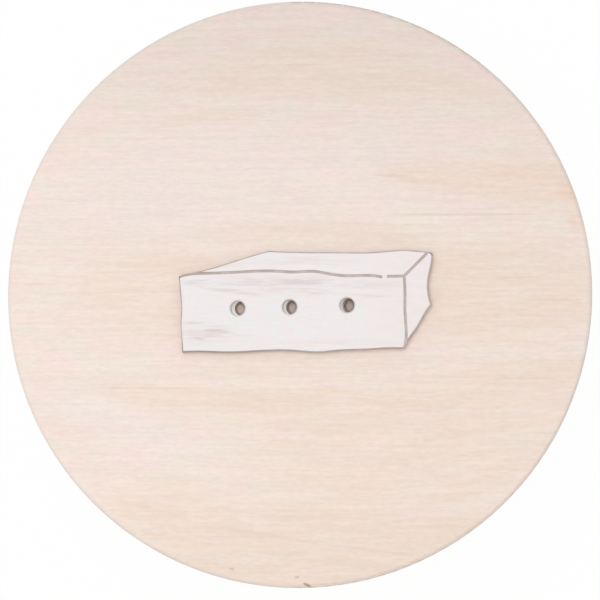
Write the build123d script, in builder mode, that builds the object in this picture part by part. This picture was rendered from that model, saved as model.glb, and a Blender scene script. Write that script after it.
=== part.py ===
"""Round wooden cheese box with a flat lift-off lid, in millimetres.

The box is a strip of thin wood bent into a hoop, lapped and tacked at its seam, and
tacked round a plywood base. The lid is a wider plywood board. On it lies a cut-out of
a block of cheese, sawn from thin plywood, and a locating disc glued under it keeps it
centred in the box.

+Z is up. The origin is at the middle of the base, on the surface that the box stands on.
Seen from above, +X runs to the right along the cheese block, and +Y runs up across it.
"""

import os
from math import cos, degrees, radians, sin

from build123d import *

# Lid board: the plywood disc that is seen from above.
lid_diameter = 250.0
lid_thickness = 6.0
lid_edge_radius = 1.5
lid_lower_ease = 0.5

# Side band: one bent strip. The lid board reaches past it all round.
lid_overhang = 7.0
band_thickness = 3.0
band_height = 66.0
band_edge_ease = 0.4

# Seam: the strip's outer end laps over its inner end. Both ends are thinned by a scarf,
# so the inside stays round.
seam_angle = -60.0
lap_length = 44.0
glue_line = 0.2
inner_scarf_length = 30.0
inner_tip_thickness = 0.7
inner_tip_lead = 5.0
outer_scarf_length = 12.0
outer_tip_thickness = 1.2

# Base: the plywood disc inside the foot of the band.
base_thickness = 6.0
base_gap = 0.15

# Locating disc: glued under the lid board, loose inside the band.
locating_thickness = 6.0
locating_clearance = 1.0
locating_lead_in = 1.2

# Copper tacks: blunt twelve-sided heads, and square shanks that end in a chisel point.
tack_head_diameter = 4.6
tack_head_sides = 12
tack_head_height = 0.9
tack_head_slope = 42.0
tack_shank_width = 1.3
tack_point_length = 2.0
tack_hole_clearance = 0.05
tack_seat_gap = 0.05
seam_tack_columns = 2
seam_tack_rows = 4
seam_tack_spacing = 24.0
seam_tack_margin = 12.0
base_tack_count = 12
base_tack_length = 12.0

# Cheese block: thin plywood cut to the outline of a block drawn at an angle, and glued
# flat on the lid. Its inner edges are grooves, and its cut edge is bevelled.
block_length = 108.2
block_height = 43.6
block_thickness = 3.0
block_offset_x = 3.9
block_offset_y = -3.8
block_bevel = 0.6
groove_width = 1.2
groove_depth = 0.5

# Three blind holes are bored into the lid board, and the bit's spurs leave a ring in the
# floor of each. The cheese block has the same holes right through it, but it slipped a
# little to the left when it was glued on, so a sliver of the lid shows in each.
hole_diameter = 6.2
hole_slip = 1.5
bore_depth = 2.5
spur_ring_width = 0.7
spur_ring_depth = 0.4

# Every cut runs past the face that it opens.
overrun = 1.0

# Heights of the faces that the pieces share, from the bottom up.
lid_bottom = band_height
locating_bottom = lid_bottom - locating_thickness
lid_top = lid_bottom + lid_thickness
block_top = lid_top + block_thickness

# Radii that the pieces share.
lid_radius = lid_diameter / 2
band_outer_radius = lid_radius - lid_overhang
band_inner_radius = band_outer_radius - band_thickness
lap_inner_radius = band_outer_radius + glue_line
lap_outer_radius = lap_inner_radius + band_thickness
hole_radius = hole_diameter / 2

# Outline of the cheese block, as shares of its length from the left and of its height
# from the bottom. Each side is a wavering line through a few points, as a knife leaves it.
left_side_shares = [
    (0.000, 0.744),
    (0.005, 0.590),
    (0.010, 0.401),
    (0.008, 0.280),
    (0.011, 0.159),
    (0.016, 0.002),
]
bottom_side_shares = [
    (0.016, 0.002),
    (0.107, 0.006),
    (0.197, 0.000),
    (0.303, 0.011),
    (0.458, 0.017),
    (0.553, 0.002),
    (0.630, 0.019),
    (0.743, 0.030),
    (0.813, 0.041),
    (0.890, 0.041),
]
corner_side_shares = [(0.890, 0.041), (0.916, 0.158), (0.941, 0.245), (0.966, 0.357), (0.996, 0.467)]
right_side_shares = [(0.996, 0.467), (0.984, 0.600), (0.984, 0.709), (0.993, 0.821), (1.000, 0.932)]
top_right_shares = [(1.000, 0.932), (0.997, 0.963), (0.984, 0.982)]
top_side_shares = [
    (0.984, 0.982),
    (0.931, 0.994),
    (0.876, 1.000),
    (0.783, 0.982),
    (0.666, 0.978),
    (0.549, 0.980),
    (0.432, 0.985),
    (0.357, 0.994),
]
slope_side_shares = [(0.357, 0.994), (0.318, 0.970), (0.248, 0.918), (0.162, 0.850), (0.035, 0.774)]
tip_side_shares = [(0.035, 0.774), (0.016, 0.762), (0.000, 0.744)]
block_sides = [
    left_side_shares,
    bottom_side_shares,
    corner_side_shares,
    right_side_shares,
    top_right_shares,
    top_side_shares,
    slope_side_shares,
    tip_side_shares,
]

# Grooves, as the same shares: the front face's top edge in two strokes with a short
# bridge between them, its right edge, and the edge that runs back from their corner.
front_edge_shares = [
    (0.004, 0.743),
    (0.043, 0.766),
    (0.107, 0.775),
    (0.199, 0.781),
    (0.381, 0.795),
    (0.470, 0.786),
    (0.533, 0.792),
    (0.589, 0.770),
    (0.667, 0.748),
    (0.772, 0.748),
    (0.803, 0.735),
]
front_corner_shares = [(0.823, 0.743), (0.889, 0.745)]
side_edge_shares = [(0.889, 0.745), (0.893, 0.542), (0.893, 0.404), (0.898, 0.146), (0.890, 0.041)]
back_edge_shares = [(0.889, 0.745), (0.935, 0.858), (0.984, 0.982)]
groove_strokes = [front_edge_shares, front_corner_shares, side_edge_shares, back_edge_shares]

# Hole centres, as the same shares.
hole_shares = [(0.235, 0.433), (0.440, 0.445), (0.666, 0.463)]


def on_block(shares):
    """Places on the lid for points given as shares of the block's length and height."""
    left = block_offset_x - block_length / 2
    bottom = block_offset_y - block_height / 2
    return [(left + x * block_length, bottom + y * block_height) for x, y in shares]


def polar(radius, angle):
    """Point at a radius and an angle in degrees, measured from the seam."""
    turn = radians(seam_angle + angle)
    return (radius * cos(turn), radius * sin(turn))


def round_stretch(start, end):
    """Arc between two (radius, angle) points, whose radius changes evenly on the way."""
    middle = ((start[0] + end[0]) / 2, (start[1] + end[1]) / 2)
    return ThreePointArc(polar(*start), polar(*middle), polar(*end))


def arc_angle(length, radius=band_outer_radius):
    """Angle in degrees that a length takes up along the band."""
    return degrees(length / radius)


def radial_place(radius, angle, height):
    """Plane on the band's wall whose Z axis points outwards."""
    x, y = polar(radius, angle)
    return Plane(origin=(x, y, height), x_dir=(0, 0, 1), z_dir=(x, y, 0))


hole_places = on_block(hole_shares)
bored_places = [(x + hole_slip, y) for x, y in hole_places]

# The seam's places, as angles from the middle of the lap.
lap_half = arc_angle(lap_length) / 2
outer_end = lap_half
outer_scarf_start = outer_end - arc_angle(outer_scarf_length)
inner_scarf_end = -lap_half
inner_tip = inner_scarf_end - arc_angle(inner_scarf_length)
lead_start = inner_tip - arc_angle(inner_tip_lead)
full_turn = 360.0

# Tack holes and places. The base tack under the lap starts further out, and the seam tacks stay
# above the base.
tack_hole_width = tack_shank_width + 2 * tack_hole_clearance
seam_tack_low = base_thickness + seam_tack_margin
seam_tack_high = band_height - seam_tack_margin
seam_tack_step = (seam_tack_high - seam_tack_low) / (seam_tack_rows - 1)
seam_tack_heights = [seam_tack_low + row * seam_tack_step for row in range(seam_tack_rows)]
seam_middle = (inner_scarf_end + outer_scarf_start) / 2
seam_tack_angles = [
    seam_middle + (column - (seam_tack_columns - 1) / 2) * arc_angle(seam_tack_spacing)
    for column in range(seam_tack_columns)
]
base_tack_height = base_thickness / 2
base_tack_angles = [
    seam_middle + full_turn * index / base_tack_count for index in range(1, base_tack_count)
]


def seam_tack_places(radius):
    """Planes of the seam tacks at a radius."""
    return [radial_place(radius, angle, height) for angle in seam_tack_angles for height in seam_tack_heights]


def base_tack_places(radius, lap_radius):
    """Planes of the base tacks at a radius, and at the lap's own radius under the lap."""
    plain = [radial_place(radius, angle, base_tack_height) for angle in base_tack_angles]
    return [radial_place(lap_radius, seam_middle, base_tack_height)] + plain


# Corners of the band's section that are eased with a small chamfer: both rims of its
# mouth, its foot, and the same edges of the lap.
eased_corners = [
    (band_inner_radius, band_height),
    (band_outer_radius, band_height),
    (lap_outer_radius, band_height),
    (band_outer_radius, 0),
    (lap_outer_radius, 0),
]

# Base disc: plywood, with a blind hole for each base tack.
with BuildPart() as base_disc:
    with BuildSketch(Plane.XY):
        Circle(band_inner_radius - base_gap)
    extrude(amount=base_thickness)
    with BuildSketch(*base_tack_places(band_inner_radius, band_inner_radius)):
        Rectangle(tack_hole_width, tack_hole_width)
    extrude(amount=band_thickness - base_tack_length - tack_hole_clearance, mode=Mode.SUBTRACT)

# Side band: the strip's section seen from above, from its inner tip round to its outer
# end and back, stood up to its full height.
with BuildPart() as side_band:
    with BuildSketch(Plane.XY):
        with BuildLine():
            inner_face = [
                (band_inner_radius, inner_tip),
                (band_inner_radius, lead_start + full_turn),
                (band_inner_radius + inner_tip_thickness + glue_line, inner_tip + full_turn),
                (lap_inner_radius, inner_scarf_end + full_turn),
                (lap_inner_radius, outer_end + full_turn),
            ]
            outer_face = [
                (lap_inner_radius + outer_tip_thickness, outer_end + full_turn),
                (lap_outer_radius, outer_scarf_start + full_turn),
                (lap_outer_radius, inner_scarf_end + full_turn),
                (band_outer_radius + inner_tip_thickness + glue_line, inner_tip + full_turn),
                (band_outer_radius, lead_start + full_turn),
                (band_outer_radius, inner_scarf_end),
                (band_inner_radius + inner_tip_thickness, inner_tip),
            ]
            for face in (inner_face, outer_face):
                for start, end in zip(face, face[1:]):
                    round_stretch(start, end)
            Line(polar(*inner_face[-1]), polar(*outer_face[0]))
            Line(polar(*outer_face[-1]), polar(*inner_face[0]))
        make_face()
    extrude(amount=band_height)
    with BuildSketch(Plane.XZ):
        with Locations(*eased_corners):
            RegularPolygon(radius=band_edge_ease, side_count=4)
    revolve(axis=Axis.Z, mode=Mode.SUBTRACT)
    outside = lap_outer_radius + overrun
    with BuildSketch(*seam_tack_places(outside), *base_tack_places(outside, outside)):
        Rectangle(tack_hole_width, tack_hole_width)
    extrude(amount=band_inner_radius - overrun - outside, mode=Mode.SUBTRACT)


def tack(length):
    """One copper tack, head up, with its seat at the origin."""
    with BuildPart() as piece:
        with BuildSketch(Plane.XY.offset(tack_seat_gap)):
            RegularPolygon(radius=tack_head_diameter / 2, side_count=tack_head_sides)
        extrude(amount=tack_head_height, taper=tack_head_slope)
        with BuildSketch(Plane.XZ):
            with BuildLine():
                half_width = tack_shank_width / 2
                Polyline(
                    (half_width, tack_seat_gap),
                    (half_width, tack_point_length - length),
                    (0, -length),
                    (-half_width, tack_point_length - length),
                    (-half_width, tack_seat_gap),
                    close=True,
                )
            make_face()
        extrude(amount=half_width, both=True)
    return piece.part


# Seam tacks: through both layers of the lap, with their points flush inside.
with BuildPart() as seam_tacks:
    with Locations(*seam_tack_places(lap_outer_radius)):
        add(tack(lap_outer_radius - band_inner_radius))

# Base tacks: through the band into the edge of the base.
with BuildPart() as base_tacks:
    lap_place, *plain_places = base_tack_places(band_outer_radius, lap_outer_radius)
    with Locations(*plain_places):
        add(tack(base_tack_length))
    with Locations(lap_place):
        add(tack(base_tack_length + lap_outer_radius - band_outer_radius))

# Lid board: plywood, rounded along its top edge and eased along its lower one, with the
# three blind holes and the rings in their floors.
with BuildPart() as lid_disc:
    with BuildSketch(Plane.XY.offset(lid_bottom)):
        Circle(lid_radius)
    extrude(amount=lid_thickness)
    lower_edge, *_, upper_edge = lid_disc.edges().filter_by(GeomType.CIRCLE).sort_by(Axis.Z)
    fillet(upper_edge, radius=lid_edge_radius)
    chamfer(lower_edge, length=lid_lower_ease)
    with BuildSketch(Plane.XY.offset(lid_top + overrun)):
        with Locations(*bored_places):
            Circle(hole_radius)
    extrude(amount=-(bore_depth + overrun), mode=Mode.SUBTRACT)
    with BuildSketch(Plane.XY.offset(lid_top + overrun)):
        with Locations(*bored_places):
            Circle(hole_radius)
            Circle(hole_radius - spur_ring_width, mode=Mode.SUBTRACT)
    extrude(amount=-(bore_depth + spur_ring_depth + overrun), mode=Mode.SUBTRACT)

# Locating disc: chamfered to find the band's mouth.
with BuildPart() as locating_disc:
    with BuildSketch(Plane.XY.offset(locating_bottom)):
        Circle(band_inner_radius - locating_clearance)
    extrude(amount=locating_thickness)
    lower_rim = locating_disc.edges().filter_by(GeomType.CIRCLE).sort_by(Axis.Z)[0]
    chamfer(lower_rim, length=locating_lead_in)

# Cheese block: the outline, its bevelled edge, the grooves and the holes.
with BuildPart() as cheese_block:
    with BuildSketch(Plane.XY.offset(lid_top)):
        with BuildLine():
            for side in block_sides:
                Spline(*on_block(side))
        make_face()
    extrude(amount=block_thickness)
    chamfer(cheese_block.faces().sort_by(Axis.Z)[-1].edges(), length=block_bevel)
    with BuildSketch(Plane.XY.offset(block_top + overrun)):
        for stroke in groove_strokes:
            with BuildLine():
                Spline(*on_block(stroke))
            trace(line_width=groove_width)
    extrude(amount=-(groove_depth + overrun), mode=Mode.SUBTRACT)
    with BuildSketch(Plane.XY.offset(lid_top - overrun)):
        with Locations(*hole_places):
            Circle(hole_radius)
    extrude(amount=block_thickness + 2 * overrun, mode=Mode.SUBTRACT)

pieces = {
    "base_disc": base_disc,
    "side_band": side_band,
    "seam_tacks": seam_tacks,
    "base_tacks": base_tacks,
    "lid_disc": lid_disc,
    "locating_disc": locating_disc,
    "cheese_block": cheese_block,
}

os.makedirs("parts", exist_ok=True)
for name, piece in pieces.items():
    piece.part.label = name
    export_step(piece.part, f"parts/{name}.step")
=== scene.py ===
"""Looks of the round wooden cheese box: the finish of each piece, the floor, light and camera.

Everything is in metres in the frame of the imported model: +Z is up, the box stands on
z = 0, and +X runs to the right along the cheese block as it is seen from above.
"""

from math import cos, pi, radians, sin

import bpy
from mathutils import Matrix, Vector


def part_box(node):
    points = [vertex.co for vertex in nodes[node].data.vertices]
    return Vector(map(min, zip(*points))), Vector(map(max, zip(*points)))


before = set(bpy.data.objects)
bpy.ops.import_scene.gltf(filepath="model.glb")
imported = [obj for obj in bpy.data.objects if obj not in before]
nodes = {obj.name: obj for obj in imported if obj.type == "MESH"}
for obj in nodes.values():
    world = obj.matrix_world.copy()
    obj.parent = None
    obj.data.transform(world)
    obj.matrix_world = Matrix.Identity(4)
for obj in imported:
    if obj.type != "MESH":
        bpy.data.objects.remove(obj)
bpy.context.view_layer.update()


# Base disc: the bottom of the box, a round of 6 mm birch plywood that is pressed into the
# foot of the band and tacked there. Its plies lie crosswise in turn, so its sawn edge shows
# light and dark stripes.
def add_node(tree, kind, inputs=None, **settings):
    """Adds a shader node, sets its properties, and fills or links its inputs by name or number."""
    node = tree.nodes.new(kind)
    for key, value in settings.items():
        setattr(node, key, value)
    for key, value in (inputs or {}).items():
        if isinstance(value, bpy.types.NodeSocket):
            tree.links.new(value, node.inputs[key])
        else:
            node.inputs[key].default_value = value
    return node


def calculate(tree, operation, *values):
    """Result of a Math node on numbers or sockets."""
    return add_node(tree, "ShaderNodeMath", dict(enumerate(values)), operation=operation).outputs[0]


def multiply(tree, first, second):
    """Product of two numbers or sockets."""
    return calculate(tree, "MULTIPLY", first, second)


def calculate_vector(tree, operation, *values):
    """Vector that a Vector Math node makes from vectors or sockets."""
    inputs = dict(enumerate(values))
    return add_node(tree, "ShaderNodeVectorMath", inputs, operation=operation).outputs[0]


def remap(tree, value, low, high, to_low=0.0, to_high=1.0):
    """Smooth ramp of a value from one range to another, held at both ends."""
    inputs = {"Value": value, "From Min": low, "From Max": high, "To Min": to_low, "To Max": to_high}
    return add_node(tree, "ShaderNodeMapRange", inputs, interpolation_type="SMOOTHSTEP").outputs[0]


def mix_colours(tree, share, first, second, blend="MIX"):
    """Blend of two colours, each an RGB value or a socket."""
    first_input, second_input, colour_output = 6, 7, 2  # the sockets that hold colours
    inputs = {0: share, first_input: opaque(first), second_input: opaque(second)}
    node = add_node(tree, "ShaderNodeMix", inputs, data_type="RGBA", blend_type=blend)
    return node.outputs[colour_output]


def opaque(colour):
    """An RGB value with its alpha, or the socket as it is."""
    return colour if isinstance(colour, bpy.types.NodeSocket) else (*colour, 1.0)


def split(tree, vector):
    """X, Y and Z sockets of a vector."""
    return add_node(tree, "ShaderNodeSeparateXYZ", {0: vector}).outputs


def join(tree, x, y, z):
    """Vector socket made of three numbers or sockets."""
    return add_node(tree, "ShaderNodeCombineXYZ", {0: x, 1: y, 2: z}).outputs[0]


def noise(tree, vector, detail=2.0, roughness=0.5):
    """Noise value of a vector that is already counted in noise cells."""
    inputs = {"Vector": vector, "Scale": 1.0, "Detail": detail, "Roughness": roughness}
    return add_node(tree, "ShaderNodeTexNoise", inputs).outputs[0]


def place_in_object(tree):
    """Object coordinates, which are the frame's own metres on every piece."""
    return add_node(tree, "ShaderNodeTexCoord").outputs["Object"]


def new_group(name, inputs, outputs):
    """Shader node group with named sockets: its tree, its inputs' sockets and its output node."""
    group = bpy.data.node_groups.new(name, "ShaderNodeTree")
    for socket_name, kind in inputs:
        group.interface.new_socket(name=socket_name, in_out="INPUT", socket_type=kind)
    for socket_name, kind in outputs:
        group.interface.new_socket(name=socket_name, in_out="OUTPUT", socket_type=kind)
    return group, group.nodes.new("NodeGroupInput").outputs, group.nodes.new("NodeGroupOutput")


def place_group(tree, group, **inputs):
    """Places a node group in a tree, fills its inputs, and gives its outputs."""
    node = tree.nodes.new("ShaderNodeGroup")
    node.node_tree = group
    for key, value in inputs.items():
        if isinstance(value, bpy.types.NodeSocket):
            tree.links.new(value, node.inputs[key])
        else:
            node.inputs[key].default_value = value
    return node.outputs


def make_grain_group():
    """Wood grain along a vector's X: fine streaks, short flecks, soft clouds and pores.

    Each is noise in cells that are long along the grain and narrow across it. The shares
    say how much longer and wider such a cell is than a streak's.
    """
    streak_roughness = 0.6
    fleck_length_share = 0.1
    fleck_width_share = 0.75
    cloud_length_share = 7.0
    cloud_width_share = 26.0
    pore_length_share = 0.22
    pore_width_share = 0.3
    pore_range = (0.6, 0.75)
    group, given, result = new_group(
        "wood_grain",
        [("Place", "NodeSocketVector"), ("Length", "NodeSocketFloat"), ("Width", "NodeSocketFloat")],
        [(name, "NodeSocketFloat") for name in ("Streaks", "Flecks", "Clouds", "Pores")],
    )

    def cells(length_share, width_share):
        length = multiply(group, given["Length"], length_share)
        width = multiply(group, given["Width"], width_share)
        return calculate_vector(group, "DIVIDE", given["Place"], join(group, length, width, width))

    streaks = noise(group, cells(1.0, 1.0), roughness=streak_roughness)
    flecks = noise(group, cells(fleck_length_share, fleck_width_share))
    clouds = noise(group, cells(cloud_length_share, cloud_width_share), detail=3.0)
    pores = noise(group, cells(pore_length_share, pore_width_share), detail=1.0)
    group.links.new(streaks, result.inputs["Streaks"])
    group.links.new(flecks, result.inputs["Flecks"])
    group.links.new(clouds, result.inputs["Clouds"])
    group.links.new(remap(group, pores, *pore_range), result.inputs["Pores"])
    return group


def make_plywood_group():
    """Plies of a board, by height: where the grain runs, which plies lie crosswise, and the glue lines.

    The height over the underside, in plies, gives the ply's number. Odd plies lie crosswise,
    so their X and Y change places. The faces are kept just inside the outer plies.
    """
    inside_share = 0.999
    ply_offset = 0.37
    glue_share = 0.09
    ply_pair = 2.0
    lowest_ply_limit = 0.5
    straight_input, swapped_input, place_output = 4, 5, 1  # the sockets that hold vectors
    group, given, result = new_group(
        "plywood",
        [("Underside", "NodeSocketFloat"), ("Ply", "NodeSocketFloat")],
        [("Place", "NodeSocketVector"), ("Cross", "NodeSocketFloat"), ("Glue", "NodeSocketFloat")],
    )
    x, y, z = split(group, place_in_object(group))
    height = calculate(group, "SUBTRACT", z, given["Underside"])
    plies = calculate(group, "DIVIDE", height, given["Ply"])
    plies = calculate(group, "MULTIPLY_ADD", plies, inside_share, (1.0 - inside_share) / 2.0)
    number = calculate(group, "FLOOR", plies)
    cross = calculate(group, "MODULO", number, ply_pair)
    both_ways = {0: cross, straight_input: join(group, x, y, z), swapped_input: join(group, y, x, z)}
    turned = add_node(group, "ShaderNodeMix", both_ways, data_type="VECTOR").outputs[place_output]
    shift = multiply(group, number, ply_offset)
    place = calculate_vector(group, "ADD", turned, join(group, shift, shift, 0.0))
    above_glue = calculate(group, "LESS_THAN", calculate(group, "FRACT", plies), glue_share)
    inner = calculate(group, "GREATER_THAN", number, lowest_ply_limit)
    group.links.new(place, result.inputs["Place"])
    group.links.new(cross, result.inputs["Cross"])
    group.links.new(multiply(group, above_glue, inner), result.inputs["Glue"])
    return group


def new_finish(name):
    """Empty material, its node tree and its Principled shader."""
    finish = bpy.data.materials.new(name)
    finish.use_nodes = True
    return finish, finish.node_tree, finish.node_tree.nodes["Principled BSDF"]


def set_surface(tree, shader, colour, roughness):
    """Gives a shader its colour and its roughness, both sockets."""
    tree.links.new(colour, shader.inputs["Base Color"])
    tree.links.new(roughness, shader.inputs["Roughness"])


def raise_surface(tree, shader, height, depth):
    """Small relief on a surface, whose height runs from 0 to 1 and stands for a depth in metres."""
    bump = add_node(tree, "ShaderNodeBump", {"Height": height, "Distance": depth})
    tree.links.new(bump.outputs[0], shader.inputs["Normal"])


def raise_grain(tree, shader, grain, depth):
    """Relief of wood grain: its streaks, with the pores sunk between them."""
    raise_surface(tree, shader, calculate(tree, "SUBTRACT", grain["Streaks"], grain["Pores"]), depth)


def wear(name, finish):
    """Gives a CAD node its finish."""
    for slot in nodes[name].material_slots:
        slot.material = finish


# Nearly all values of a noise lie in this range.
noise_range = (0.3, 0.7)

wood_grain = make_grain_group()
plywood = make_plywood_group()

pale_birch = (0.83, 0.69, 0.58)
crosswise_birch = (0.71, 0.565, 0.45)
glue_brown = (0.58, 0.45, 0.35)
glue_strength = 0.85
streak_shades = (0.965, 1.024)
fleck_shades = (0.973, 1.027)
red_share = 0.95
blue_share = 1.01


def plywood_grain(tree, underside, ply, length=0.02, width=0.0014):
    """Plies of a board and the grain in them, as the outputs of both groups."""
    plies = place_group(tree, plywood, Underside=underside, Ply=ply)
    return plies, place_group(tree, wood_grain, Place=plies["Place"], Length=length, Width=width)


def plywood_colour(tree, plies, grain, face_colour):
    """Colour of plywood: face plies, darker crosswise plies and thin glue lines.

    From streak to streak, red changes a little less than green, and blue a little more.
    """
    colour = mix_colours(tree, plies["Cross"], face_colour, crosswise_birch)
    streaks = remap(tree, grain["Streaks"], *noise_range, *streak_shades)
    flecks = remap(tree, grain["Flecks"], *noise_range, *fleck_shades)
    streaked = multiply(tree, streaks, flecks)
    reddish = calculate(tree, "MULTIPLY_ADD", streaked, red_share, 1.0 - red_share)
    bluish = calculate(tree, "MULTIPLY_ADD", streaked, blue_share, 1.0 - blue_share)
    colour = mix_colours(tree, 1.0, colour, join(tree, reddish, streaked, bluish), "MULTIPLY")
    return mix_colours(tree, multiply(tree, plies["Glue"], glue_strength), colour, glue_brown)


bare_roughness = (0.62, 0.8)
bare_relief = 0.00003


def leave_bare(tree, shader, colour, grain):
    """Sanded wood without a coat, rougher in its pores."""
    set_surface(tree, shader, colour, remap(tree, grain["Pores"], 0.0, 1.0, *bare_roughness))
    raise_grain(tree, shader, grain, bare_relief)


base_low, base_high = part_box("base_disc")
base_ply_count = 5
base_ply = (base_high[2] - base_low[2]) / base_ply_count
cloud_brown = (0.78, 0.6, 0.46)
cloud_range = (0.35, 0.7)
cloud_strength = 0.5

finish, tree, shader = new_finish("base_birch_plywood")
plies, grain = plywood_grain(tree, base_low[2], base_ply)
colour = plywood_colour(tree, plies, grain, pale_birch)
clouded = remap(tree, grain["Clouds"], *cloud_range, 0.0, cloud_strength)
leave_bare(tree, shader, mix_colours(tree, clouded, colour, cloud_brown), grain)
wear("base_disc", finish)


# Side band: one strip of thin beech, steamed, bent into a hoop and lapped over itself. Its
# grain runs round the box, and its two ends are thinned by hand where they overlap.
_, band_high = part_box("side_band")
box_axis = (0.0, 0.0)
upright = (0.0, 0.0, 1.0)
band_thickness = 0.003
band_outer_radius = band_high[0]
band_middle_radius = band_outer_radius - band_thickness / 2.0
seam_angle = radians(-60.0)
lap_length = 0.044
inner_scarf_length = 0.03
half_lap = lap_length / 2.0 / band_outer_radius
outer_end = seam_angle + half_lap
inner_tip = seam_angle - half_lap - inner_scarf_length / band_outer_radius
pale_beech = (0.8, 0.63, 0.49)
brown_beech = (0.73, 0.53, 0.38)
pore_brown = (0.5, 0.33, 0.22)
pore_strength = 0.35
end_grain = (0.5, 0.36, 0.25)
end_face_limit = 0.8
band_grain_length = 0.03
band_grain_width = 0.0011
band_streak_shades = (0.88, 1.05)
band_roughness = (0.5, 0.62)
band_relief = 0.00005


def shade(tree, colour, factor):
    """Colour made lighter or darker by a factor."""
    return mix_colours(tree, 1.0, colour, join(tree, factor, factor, factor), "MULTIPLY")


def distance_in_plan(tree, place, centre):
    """Distance from a centre, seen from above."""
    x, y, _ = split(tree, place)
    across = calculate(tree, "SUBTRACT", x, centre[0])
    up = calculate(tree, "SUBTRACT", y, centre[1])
    squares = [calculate(tree, "POWER", side, 2.0) for side in (across, up)]
    return calculate(tree, "SQRT", calculate(tree, "ADD", *squares))


def angle_past(tree, place, start):
    """Angle of a place round the box, counted up from a start to a full turn past it."""
    inputs = {"Vector": place, "Angle": pi - start}
    turned = add_node(tree, "ShaderNodeVectorRotate", inputs, rotation_type="Z_AXIS").outputs[0]
    x, y, _ = split(tree, turned)
    return calculate(tree, "ADD", calculate(tree, "ARCTAN2", y, x), start + pi)


# Round the strip, a place is counted from the strip's own end on each layer of the lap, so
# the grain runs on without a break up to the end that shows.
finish, tree, shader = new_finish("bent_beech")
place = place_in_object(tree)
x, y, z = split(tree, place)
radius = distance_in_plan(tree, place, box_axis)
outside = calculate(tree, "GREATER_THAN", radius, band_middle_radius)
inner_angle = angle_past(tree, place, inner_tip)
outer_angle = angle_past(tree, place, outer_end)
difference = calculate(tree, "SUBTRACT", outer_angle, inner_angle)
angle = calculate(tree, "MULTIPLY_ADD", outside, difference, inner_angle)
strip_place = join(tree, multiply(tree, angle, band_outer_radius), z, radius)
grain = place_group(tree, wood_grain, Place=strip_place, Length=band_grain_length, Width=band_grain_width)
colour = mix_colours(tree, remap(tree, grain["Clouds"], *noise_range), pale_beech, brown_beech)
colour = shade(tree, colour, remap(tree, grain["Streaks"], *noise_range, *band_streak_shades))
colour = mix_colours(tree, multiply(tree, grain["Pores"], pore_strength), colour, pore_brown)

# The two end faces of the strip look along it.
normal = add_node(tree, "ShaderNodeNewGeometry").outputs["True Normal"]
outwards = calculate_vector(tree, "NORMALIZE", join(tree, x, y, 0.0))
along = calculate_vector(tree, "CROSS_PRODUCT", outwards, upright)
facing = add_node(tree, "ShaderNodeVectorMath", {0: normal, 1: along}, operation="DOT_PRODUCT")
facing_along = calculate(tree, "ABSOLUTE", facing.outputs["Value"])
on_end = calculate(tree, "GREATER_THAN", facing_along, end_face_limit)
colour = mix_colours(tree, on_end, colour, end_grain)
set_surface(tree, shader, colour, remap(tree, grain["Streaks"], *noise_range, *band_roughness))
raise_grain(tree, shader, grain, band_relief)
wear("side_band", finish)


# Tacks: small copper nails with blunt hammered heads, eight through the lapped seam and
# twelve into the edge of the base. Their heads have dulled a little in the air.
copper = (0.62, 0.3, 0.19)
dull_copper = (0.3, 0.15, 0.1)
dull_range = (0.35, 0.7)
copper_roughness = (0.3, 0.5)
dent_cell = (0.0009, 0.0009, 0.0009)
dent_depth = 0.00006


def noise_in_cells(tree, place, cell, detail=2.0):
    """Noise value of a place, in cells of a length, a width and a height."""
    return noise(tree, calculate_vector(tree, "DIVIDE", place, cell), detail)


finish, tree, shader = new_finish("dulled_copper")
shader.inputs["Metallic"].default_value = 1.0
dents = noise_in_cells(tree, place_in_object(tree), dent_cell, detail=3.0)
colour = mix_colours(tree, remap(tree, dents, *dull_range), copper, dull_copper)
set_surface(tree, shader, colour, remap(tree, dents, *noise_range, *copper_roughness))
raise_surface(tree, shader, dents, dent_depth)
wear("seam_tacks", finish)
wear("base_tacks", finish)


# Locating disc: 6 mm birch plywood, glued under the lid board, which keeps the lid centred
# in the mouth of the box. It is sanded and left bare like the base.
disc_low, disc_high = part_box("locating_disc")
disc_ply_count = 5
disc_ply = (disc_high[2] - disc_low[2]) / disc_ply_count

finish, tree, shader = new_finish("locating_birch_plywood")
plies, grain = plywood_grain(tree, disc_low[2], disc_ply)
leave_bare(tree, shader, plywood_colour(tree, plies, grain, pale_birch), grain)
wear("locating_disc", finish)


# Lid board: a round of 6 mm birch plywood, sanded and left bare. Its face veneer is pale
# and a little pink, with long warmer zones where the knife passed through darker rings.
# Under the cheese block it has three shallow holes, bored with a spurred bit.
lid_low, lid_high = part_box("lid_disc")
lid_radius = (lid_high[0] - lid_low[0]) / 2.0
lid_ply_count = 5
lid_ply = (lid_high[2] - lid_low[2]) / lid_ply_count
lid_tan = (0.84, 0.69, 0.582)
lid_orange = (0.845, 0.635, 0.515)
lid_brown = (0.77, 0.6, 0.48)
lid_cool = (0.845, 0.743, 0.695)
lid_greenish = (0.846, 0.751, 0.669)
lid_rosy = (0.879, 0.724, 0.667)
rosy_cell = (0.02, 0.009, 1.0)

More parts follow.
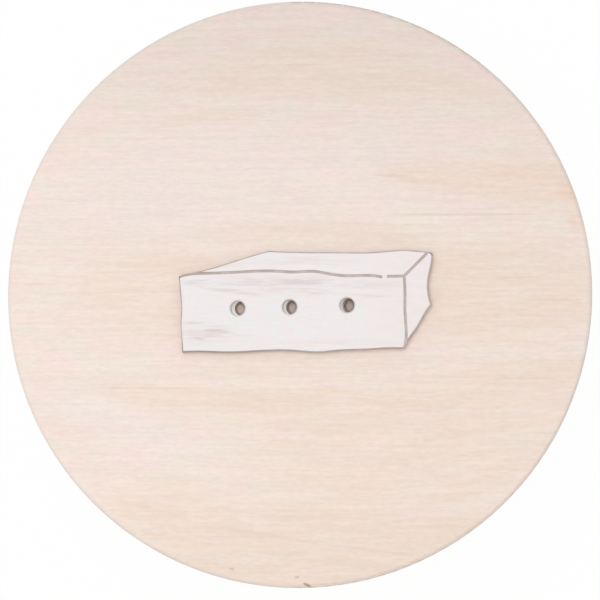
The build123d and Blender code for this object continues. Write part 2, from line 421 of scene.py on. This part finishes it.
# Zones of the veneer, as shares of the lid's radius: middle to the right and up, half
# length, half height, turn in degrees, and strength.
tan_zone_shares = [
    (0.14, 0.77, 0.72, 0.13, 0.0, 0.55),
    (-0.29, 0.62, 0.22, 0.04, 0.0, 0.4),
    (0.66, 0.42, 0.42, 0.13, 0.0, 0.4),
    (0.84, 0.45, 0.28, 0.15, 0.0, 0.7),
    (0.70, 0.00, 0.50, 0.26, 0.0, 0.8),
    (-0.48, 0.00, 0.34, 0.24, 0.0, 0.65),
    (0.00, -0.26, 0.50, 0.08, 0.0, 0.35),
    (0.10, 0.20, 0.60, 0.06, 0.0, 0.5),
    (0.15, -0.385, 1.05, 0.08, 0.0, 0.9),
    (0.45, -0.55, 0.80, 0.34, 0.0, 0.7),
    (0.00, -0.90, 0.85, 0.28, -6.0, 1.0),
    (0.36, -0.96, 0.50, 0.24, 0.0, 1.0),
    (0.80, -0.33, 0.40, 0.08, 0.0, 0.8),
]
cool_zone_shares = [
    (-0.35, 0.40, 0.75, 0.26, 0.0, 0.55),
    (0.35, 0.42, 0.60, 0.20, 0.0, 0.5),
    (-0.60, -0.50, 0.36, 0.10, -12.0, 0.8),
    (-0.12, -0.745, 0.26, 0.04, -9.0, 0.8),
]
orange_zone_shares = [
    (0.40, 0.42, 0.14, 0.035, 0.0, 0.7),
    (0.66, 0.45, 0.34, 0.10, 0.0, 0.35),
    (0.925, 0.43, 0.075, 0.055, 0.0, 0.9),
    (0.955, 0.315, 0.05, 0.045, 0.0, 0.6),
]
brown_line_shares = [
    (0.57, 0.266, 0.33, 0.006, 0.0, 0.55),
    (-0.52, -0.325, 0.22, 0.006, 0.0, 0.5),
    (0.86, -0.024, 0.12, 0.006, 0.0, 0.45),
    (0.32, 0.399, 0.08, 0.006, -2.0, 0.5),
    (0.88, 0.026, 0.10, 0.005, 0.0, 0.3),
    (0.74, 0.053, 0.10, 0.005, 0.0, 0.3),
    (0.77, -0.288, 0.12, 0.005, 0.0, 0.35),
    (-0.91, 0.029, 0.06, 0.006, 0.0, 0.35),
    (-0.66, 0.070, 0.06, 0.005, 0.0, 0.3),
    (0.03, 0.781, 0.10, 0.005, 0.0, 0.25),
    (-0.48, -0.740, 0.22, 0.010, -14.0, 0.2),
    (-0.10, -0.822, 0.24, 0.009, -9.0, 0.25),
    (0.26, -0.870, 0.18, 0.007, -6.0, 0.35),
]
nick_shares = [
    (0.042, -0.989, 0.019, 0.0065, -25.0, 0.75),
    (0.008, -0.963, 0.011, 0.0045, 0.0, 0.4),
    (-0.215, -0.938, 0.012, 0.005, -15.0, 0.3),
]
nick_brown = (0.32, 0.24, 0.17)

# The growth rings run level through the middle, waver a little, and close in towards both
# sides. The warm streaks between them are long and thin.
ring_curl = 0.33
ring_length = 0.04
ring_width = 0.0042
waver_length = 0.05
waver_width = waver_length / 3.0
waver_height = 0.007
warm_range = (0.38, 0.7)
warm_strength = 0.14
feather_range = (0.35, 0.6)
feather_strengths = (0.45, 1.05)
lid_grain_length = 0.03
lid_grain_width = 0.0014
lid_roughness = (0.55, 0.65)
lid_relief = 0.00002

# The rim is a little greyer, most of all on its rounding. Painted shade darkens the veneer
# towards the upper and the lower edge, and from the lower left to the upper right.
rim_grey = (0.67, 0.655, 0.64)
rim_shares = (0.984, 0.997)
rim_strength = 0.32
rim_depth = 0.0006
rim_wall_share = 0.35
painted_upper_shade_shares = (0.35, 0.95)
painted_upper_shade = 0.925
painted_lower_shade_shares = (-0.6, -1.05)
painted_lower_shade = 0.96
painted_slant_shade_shares = (0.49, 0.87)
painted_slant_shade_fall = 0.042

# The bored holes: their places as shares of the block's length and height, how far the
# block slipped to the left of them, and the colours of their walls and floors. Some white
# paint was smeared on the lid in the block's holes, and a darker brown band narrows what shows of it.
block_low, block_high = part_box("cheese_block")
hole_shares = [(0.235, 0.433), (0.440, 0.445), (0.666, 0.463)]
hole_radius = 0.0031
hole_slip = 0.0015
bore_depth = 0.0025
edge_height = 0.0001
smeared_white = (1.0, 0.985, 0.95)
smear_shares = (1.0, 1.05)
dark_band_brown = (0.37, 0.3, 0.275)
dark_band_reach_shares = (1.0, 1.08, 1.18)
dark_band_share = 1.03
bored_brown = (0.66, 0.55, 0.49)
bore_share = 1.02
floor_wood = (0.73, 0.6, 0.55)
spur_and_shade_brown = (0.47, 0.39, 0.35)
spur_shares = (0.7, 0.8)
spur_strength = 0.8
shaded_floor_shares = (0.5, 0.73)
shaded_floor_strength = 0.85
right_floor_shade = 0.82


def scaled(shares, size):
    """Sizes that are shares of another size."""
    return [share * size for share in shares]


def zones(tree, place, middle, size, shares, edge_share=0.5):
    """Greatest of several oval zones with soft edges, each as strong as its last share says."""
    x, y, _ = split(tree, place)
    flat = join(tree, x, y, 0.0)
    strongest = 0.0
    for across, up, half_length, half_height, turn, strength in shares:
        inputs = {
            "Vector": flat,
            "Location": (middle[0] + across * size, middle[1] + up * size, 0.0),
            "Rotation": (0.0, 0.0, radians(turn)),
            "Scale": (half_length * size, half_height * size, size),
        }
        oval = add_node(tree, "ShaderNodeMapping", inputs, vector_type="TEXTURE").outputs[0]
        gradient = add_node(tree, "ShaderNodeTexGradient", {"Vector": oval}, gradient_type="SPHERICAL")
        soft = remap(tree, gradient.outputs["Fac"], 0.0, edge_share, 0.0, strength)
        strongest = calculate(tree, "MAXIMUM", strongest, soft)
    return strongest


def on_block(x_share, y_share):
    """Place on the lid for shares of the block's length from the left and height from the bottom."""
    return (
        block_low[0] + x_share * (block_high[0] - block_low[0]),
        block_low[1] + y_share * (block_high[1] - block_low[1]),
    )


def nearest_hole(tree, slip=0.0, reach_shares=(1.0, 1.0, 1.0)):
    """Distance to the middle of the nearest hole, a slip to the right of the block's own holes.

    The distance to each hole is divided by its reach, so a longer reach makes a hole nearer.
    """
    place = place_in_object(tree)
    centres = [on_block(*shares) for shares in hole_shares]
    distances = [
        calculate(tree, "DIVIDE", distance_in_plan(tree, place, (x + slip, y)), reach_share)
        for (x, y), reach_share in zip(centres, reach_shares)
    ]
    nearest = distances[0]
    for distance in distances[1:]:
        nearest = calculate(tree, "MINIMUM", nearest, distance)
    return nearest


def below(tree, value, limit):
    """1 where a value is under a limit, and 0 above it."""
    return calculate(tree, "LESS_THAN", value, limit)


finish, tree, shader = new_finish("lid_birch_plywood")
place = place_in_object(tree)
x, y, z = split(tree, place)

# The face veneer, in places that follow its rings.
waver = noise_in_cells(tree, place, (waver_length, waver_width, 1.0), detail=4.0)
raised = calculate(tree, "MULTIPLY_ADD", waver, waver_height, -waver_height / 2.0)
from_middle = calculate(tree, "POWER", calculate(tree, "DIVIDE", x, lid_radius), 2.0)
curl = calculate(tree, "MULTIPLY_ADD", from_middle, ring_curl, 1.0)
ring_place = join(tree, x, multiply(tree, calculate(tree, "ADD", y, raised), curl), 0.0)
rings = place_group(tree, wood_grain, Place=ring_place, Length=ring_length, Width=ring_width)
rosy = remap(tree, noise_in_cells(tree, place, rosy_cell, detail=1.0), *noise_range)
warmed = remap(tree, rings["Streaks"], *warm_range, 0.0, warm_strength)
face_colour = mix_colours(tree, rosy, lid_greenish, lid_rosy)
face_colour = mix_colours(tree, warmed, face_colour, lid_orange)
feathered = remap(tree, rings["Streaks"], *feather_range, *feather_strengths)
zone_tints = (
    (cool_zone_shares, lid_cool),
    (tan_zone_shares, lid_tan),
    (orange_zone_shares, lid_orange),
)
for shares, tint in zone_tints:
    tinted = multiply(tree, zones(tree, ring_place, box_axis, lid_radius, shares), feathered)
    face_colour = mix_colours(tree, tinted, face_colour, tint)
lines = zones(tree, place, box_axis, lid_radius, brown_line_shares)
face_colour = mix_colours(tree, lines, face_colour, lid_brown)
plies, grain = plywood_grain(tree, lid_low[2], lid_ply, lid_grain_length, lid_grain_width)
colour = plywood_colour(tree, plies, grain, face_colour)

# The rim, its nicks and the painted shade of the board.
from_centre = distance_in_plan(tree, place, box_axis)
on_rim = remap(tree, from_centre, *scaled(rim_shares, lid_radius), 0.0, rim_strength)
on_rounding = remap(tree, z, lid_high[2] - rim_depth, lid_high[2], rim_wall_share, 1.0)
colour = mix_colours(tree, multiply(tree, on_rim, on_rounding), colour, rim_grey)
nicks = zones(tree, place, box_axis, lid_radius, nick_shares)
colour = mix_colours(tree, nicks, colour, nick_brown)
# Painted shade, not a tone of the wood: darker towards the upper and lower edge and aslant.
painted_shade_upwards = remap(tree, y, *scaled(painted_upper_shade_shares, lid_radius), 1.0, painted_upper_shade)
painted_shade_downwards = remap(tree, y, *scaled(painted_lower_shade_shares, lid_radius), 1.0, painted_lower_shade)
slanting = calculate(tree, "ADD", multiply(tree, x, painted_slant_shade_shares[0]), multiply(tree, y, painted_slant_shade_shares[1]))
painted_shade_aslant = calculate(tree, "MULTIPLY_ADD", slanting, -painted_slant_shade_fall / lid_radius, 1.0)
colour = shade(tree, colour, multiply(tree, multiply(tree, painted_shade_upwards, painted_shade_downwards), painted_shade_aslant))

# The smeared face of the lid in the block's holes, with its darker band, then the bores' walls.
hole_distance = nearest_hole(tree)
bore_distance = nearest_hole(tree, hole_slip)
in_block_hole = remap(tree, hole_distance, *scaled(smear_shares, hole_radius), 1.0, 0.0)
colour = mix_colours(tree, in_block_hole, colour, smeared_white)
in_dark_band = below(tree, nearest_hole(tree, hole_slip, dark_band_reach_shares), dark_band_share * hole_radius)
colour = mix_colours(tree, multiply(tree, in_dark_band, in_block_hole), colour, dark_band_brown)
in_bore = below(tree, bore_distance, bore_share * hole_radius)
under_face = multiply(tree, in_bore, below(tree, z, lid_high[2] - edge_height))
colour = mix_colours(tree, under_face, colour, bored_brown)

# The bores' floors, darker in the spurs' ring, with painted shade under the edge of the block,
# and darker in the right hole than in the left one.
ringed = remap(tree, bore_distance, *scaled(spur_shares, hole_radius), 0.0, spur_strength)
# Painted shade on the floors near the edge of the block's holes, in the same brown as the spurs' ring.
shaded = remap(
    tree, hole_distance, *scaled(shaded_floor_shares, hole_radius), 0.0, shaded_floor_strength
)
floor_colour = mix_colours(tree, calculate(tree, "MAXIMUM", ringed, shaded), floor_wood, spur_and_shade_brown)
left_hole, right_hole = [on_block(*hole_shares[number])[0] for number in (0, -1)]
floor_colour = shade(tree, floor_colour, remap(tree, x, left_hole, right_hole, 1.0, right_floor_shade))
on_floor = multiply(tree, in_bore, below(tree, z, lid_high[2] - bore_depth + edge_height))
colour = mix_colours(tree, on_floor, colour, floor_colour)
set_surface(tree, shader, colour, remap(tree, grain["Streaks"], *noise_range, *lid_roughness))
raise_grain(tree, shader, grain, lid_relief)
wear("lid_disc", finish)


# Cheese block: a cut-out of 3 mm plywood in the outline of a block of cheese, glued on the
# lid. Its face is whitewashed, and its edge and the drawn lines are scorched by the cut.
block_ply_count = 3
block_ply = (block_high[2] - block_low[2]) / block_ply_count
block_half = (block_high[0] - block_low[0]) / 2.0
block_middle = on_block(0.5, 0.5)

# The whitewash, brushed on thinly, and its stains.
whitewash = (0.848, 0.832, 0.832)
whitewash_warm = (0.8, 0.72, 0.7)
whitewash_pinkish = (0.878, 0.795, 0.795)
whitewash_worn = (0.835, 0.78, 0.758)
whitewash_lilac = (0.71, 0.625, 0.605)
whitewash_pink = (0.74, 0.62, 0.6)
whitewash_bare = (0.83, 0.72, 0.63)
brush_length = 0.011
brush_width = 0.0009
brush_range = (0.35, 0.7)
brush_strength = 0.3
thin_shades = (0.975, 1.02)
worn_shares = (0.65, 0.95)
tinge_cell = (0.006, 0.003, 1.0)
tinge_range = (0.35, 0.65)
tinge_strength = 0.8
stain_edge_share = 0.8
stain_range = (0.35, 0.62)
stain_strengths = (0.2, 1.15)
whitewash_roughness = 0.7
whitewash_relief = 0.00003

# Depths under the block's face: the paint ends at the first and is full above the second,
# and the walls of the holes are pale below the third.
paint_end = 0.00007
full_paint = paint_end / 4.0
hole_wall_start = 2.0 * paint_end

# The scorched edge and grooves: paler towards the right end, and with painted shade along the
# lower edge, strongest towards the left tip.
scorched = (0.45, 0.385, 0.35)
scorched_pale = (0.57, 0.495, 0.45)
scorch_with_painted_shade = (0.33, 0.27, 0.235)
charred = (0.26, 0.19, 0.16)
char_cell = (0.004, 0.004, 0.0006)
char_range = (0.35, 0.65)
pale_end_shares = (0.92, 0.99)
pale_end_strength = 0.6
low_edge_shares = (0.1, 0.05)
low_edge_shade_shares = (0.0, 0.6)
low_edge_shade_strengths = (0.65, 0.15)
groove_brown = (0.54, 0.46, 0.415)
groove_pale = (0.63, 0.55, 0.505)
groove_deep = (0.43, 0.345, 0.3)
left_tip_shares = (0.2, 0.02)
left_tip_strength = 0.7
level_limit = 0.9
hole_wall = (0.78, 0.72, 0.67)
hole_wall_share = 1.002
scorch_and_shade_ring = (0.5, 0.46, 0.43)
scorch_and_shade_ring_shares = (1.0, 1.28)
scorch_and_shade_ring_strength = 0.75

# Stains on the whitewash and charred tips, as shares of half the block's length: middle to
# the right and up, half length, half height, turn in degrees, and strength.
lilac_shares = [
    (-0.33, 0.155, 0.55, 0.085, 0.0, 0.5),
    (-0.28, 0.15, 0.28, 0.05, 0.0, 0.4),
    (-0.84, 0.155, 0.18, 0.05, 0.0, 0.7),
    (-0.02, 0.155, 0.36, 0.05, 0.0, 0.75),
    (0.50, 0.13, 0.45, 0.05, 0.0, 0.35),
    (-0.10, 0.085, 0.42, 0.05, -4.0, 0.6),
    (-0.58, 0.08, 0.40, 0.03, -8.0, 0.6),
    (0.06, 0.065, 0.13, 0.025, 0.0, 0.7),
    (0.45, 0.045, 0.35, 0.02, -2.0, 0.45),
    (0.05, 0.32, 0.55, 0.06, 0.0, 0.25),
]
pink_shares = [
    (-0.80, -0.25, 0.32, 0.11, 0.0, 0.5),
    (-0.88, -0.18, 0.13, 0.035, 0.0, 0.6),
    (-0.70, -0.232, 0.18, 0.028, -6.0, 1.0),
    (-0.80, -0.288, 0.23, 0.03, 2.0, 0.9),
    (-0.55, -0.27, 0.20, 0.02, 0.0, 0.3),
]
bare_shares = [
    (-0.70, 0.285, 0.20, 0.05, 0.0, 1.0),
    (-0.42, 0.285, 0.34, 0.035, 0.0, 0.45),
    (0.20, 0.195, 0.65, 0.03, 0.0, 0.4),
    (0.20, -0.325, 0.85, 0.04, 0.0, 0.35),
]
charred_shares = [
    (0.985, 0.38, 0.03, 0.03, 0.0, 0.8),
    (-0.99, 0.20, 0.035, 0.025, 0.0, 0.8),
]


def across_block(shares):
    """X of places given as shares of the block's length from the left."""
    return [on_block(share, 0.0)[0] for share in shares]


def up_block(shares):
    """Y of places given as shares of the block's height from the bottom."""
    return [on_block(0.0, share)[1] for share in shares]


finish, tree, shader = new_finish("whitewashed_plywood")
_, grain = plywood_grain(tree, block_low[2], block_ply)
place = place_in_object(tree)
x, y, z = split(tree, place)

# Scorched wood: the edge, its tips, and the level floors of the grooves.
char = remap(tree, noise_in_cells(tree, place, char_cell), *char_range)
burnt = mix_colours(tree, char, scorched_pale, scorched)
paler = remap(tree, x, *across_block(pale_end_shares), 0.0, pale_end_strength)
burnt = mix_colours(tree, paler, burnt, scorched_pale)
# Painted shade on the scorched lower edge, which faces away from the light.
along_low_edge = remap(tree, y, *up_block(low_edge_shares))
painted_low_edge_shade = multiply(tree, along_low_edge, remap(tree, x, *across_block(low_edge_shade_shares), *low_edge_shade_strengths))
burnt = mix_colours(tree, painted_low_edge_shade, burnt, scorch_with_painted_shade)
tips = zones(tree, place, block_middle, block_half, charred_shares)
burnt = mix_colours(tree, tips, burnt, charred)
groove = mix_colours(tree, char, groove_pale, groove_brown)
to_tip = remap(tree, x, *across_block(left_tip_shares), 0.0, left_tip_strength)
groove = mix_colours(tree, to_tip, groove, groove_deep)
_, _, upward = split(tree, add_node(tree, "ShaderNodeNewGeometry").outputs["True Normal"])
burnt = mix_colours(tree, calculate(tree, "GREATER_THAN", upward, level_limit), burnt, groove)

# Whitewash: warm streaks of the brush, a worn right end, a faint tinge, and the stains.
brush = place_group(tree, wood_grain, Place=place, Length=brush_length, Width=brush_width)
streaked = remap(tree, brush["Streaks"], *brush_range, 0.0, brush_strength)
painted = mix_colours(tree, streaked, whitewash, whitewash_warm)
painted = shade(tree, painted, remap(tree, brush["Flecks"], *noise_range, *thin_shades))
painted = mix_colours(tree, remap(tree, x, *across_block(worn_shares)), painted, whitewash_worn)
tinge = remap(tree, noise_in_cells(tree, place, tinge_cell), *tinge_range, 0.0, tinge_strength)
painted = mix_colours(tree, tinge, painted, whitewash_pinkish)
brushed = remap(tree, brush["Streaks"], *stain_range, *stain_strengths)
stains = (
    (lilac_shares, whitewash_lilac),
    (pink_shares, whitewash_pink),
    (bare_shares, whitewash_bare),
)
for shares, tint in stains:
    stained = zones(tree, place, block_middle, block_half, shares, stain_edge_share)
    painted = mix_colours(tree, multiply(tree, stained, brushed), painted, tint)

# The paint ends just inside the cut edge; the holes have pale walls and a ring of scorch with painted
# shade.
in_paint = remap(tree, z, block_high[2] - paint_end, block_high[2] - full_paint)
colour = mix_colours(tree, in_paint, burnt, painted)
hole_distance = nearest_hole(tree)
# A scorched ring round each hole, darkened further as painted shade at the hole's edge.
ringed = remap(
    tree, hole_distance, *scaled(scorch_and_shade_ring_shares, hole_radius), scorch_and_shade_ring_strength, 0.0
)
colour = mix_colours(tree, ringed, colour, scorch_and_shade_ring)
under_face = below(tree, z, block_high[2] - hole_wall_start)
in_hole = multiply(tree, below(tree, hole_distance, hole_wall_share * hole_radius), under_face)
colour = mix_colours(tree, in_hole, colour, hole_wall)
tree.links.new(colour, shader.inputs["Base Color"])
shader.inputs["Roughness"].default_value = whitewash_roughness
raise_surface(tree, shader, grain["Streaks"], whitewash_relief)
wear("cheese_block", finish)


# Floor and surround: a plain white floor that the box stands on, and a pale surround. The
# camera sees both as pure white, and the light that they throw on the box is weaker.
white = (1.0, 1.0, 1.0, 1.0)
floor_white = (0.9, 0.9, 0.9, 1.0)
floor_half_side = 4.0
floor_glow_share = 0.97
surround_strength = 0.72


def flat_square(name, half_side, height):
    """Level square mesh object around the origin."""
    mesh = bpy.data.meshes.new(name)
    corners = [(-1, -1), (1, -1), (1, 1), (-1, 1)]
    mesh.from_pydata([(x * half_side, y * half_side, height) for x, y in corners], [], [(0, 1, 2, 3)])
    square = bpy.data.objects.new(name, mesh)
    bpy.context.scene.collection.objects.link(square)
    return square


def seen_straight(tree):
    """1 for what the camera sees, itself or in metal and glass, and 0 for the light on the box."""
    paths = tree.nodes.new("ShaderNodeLightPath").outputs
    seen = calculate(tree, "MAXIMUM", paths["Is Camera Ray"], paths["Is Glossy Ray"])
    return calculate(tree, "MAXIMUM", seen, paths["Is Transmission Ray"])


floor = flat_square("floor", floor_half_side, 0.0)
floor_material = bpy.data.materials.new("floor_white")
floor_material.use_nodes = True
tree = floor_material.node_tree
tree.nodes.clear()
output = tree.nodes.new("ShaderNodeOutputMaterial")
plain = add_node(tree, "ShaderNodeBsdfDiffuse", {"Color": floor_white})
glow = add_node(tree, "ShaderNodeEmission", {"Color": white, "Strength": 1.0})
both = add_node(tree, "ShaderNodeMixShader", {0: multiply(tree, seen_straight(tree), floor_glow_share)})
tree.links.new(plain.outputs[0], both.inputs[1])
tree.links.new(glow.outputs[0], both.inputs[2])
tree.links.new(both.outputs[0], output.inputs[0])
floor.data.materials.append(floor_material)

world = bpy.data.worlds.new("surround")
bpy.context.scene.world = world
world.use_nodes = True
tree = world.node_tree
background = tree.nodes["Background"]
background.inputs["Color"].default_value = white
strength = remap(tree, seen_straight(tree), 0.0, 1.0, surround_strength, 1.0)
tree.links.new(strength, background.inputs["Strength"])


# Lamp: one wide soft lamp overhead, a little to the left and above the middle of the
# picture, which faces the middle of the lid.
lid_middle = Vector((0.0, 0.0, lid_high[2]))
lamp_place = Vector((-0.3, 0.35, 2.0))
lamp_side = 1.4
lamp_power = 13.2

lamp_data = bpy.data.lights.new("lamp_overhead", "AREA")
lamp_data.shape = "SQUARE"
lamp_data.size = lamp_side
lamp_data.energy = lamp_power
lamp = bpy.data.objects.new("lamp_overhead", lamp_data)
lamp.location = lamp_place
lamp.rotation_euler = (lid_middle - lamp_place).to_track_quat("-Z", "Y").to_euler()
bpy.context.scene.collection.objects.link(lamp)


# Camera: nearly straight above the lid, leaning 7 degrees towards the lower right of the
# picture, with a long lens from 1.2 m and a slight turn of the picture.
camera_distance = 1.2
camera_lean = radians(7.04)
camera_bearing = radians(-29.1)
camera_turn = radians(0.342)
lid_picture_share = 0.98044
aim_offset = Vector((0.0015, -0.00305, 0.0))
picture_up = Vector((0.0, 1.0, 0.0))

towards_camera = Vector(
    (sin(camera_lean) * cos(camera_bearing), sin(camera_lean) * sin(camera_bearing), cos(camera_lean))
)
right = picture_up.cross(towards_camera).normalized()
facing = Matrix((right, towards_camera.cross(right), towards_camera)).transposed().to_4x4()
standing = Matrix.Translation(lid_middle + aim_offset + camera_distance * towards_camera)
camera_data = bpy.data.cameras.new("camera")
camera_data.lens = camera_data.sensor_width * camera_distance * lid_picture_share / (2.0 * lid_radius)
camera = bpy.data.objects.new("camera", camera_data)
camera.matrix_world = standing @ facing @ Matrix.Rotation(camera_turn, 4, "Z")
bpy.context.scene.collection.objects.link(camera)
bpy.context.scene.camera = camera
bpy.context.scene.view_settings.view_transform = "Standard"
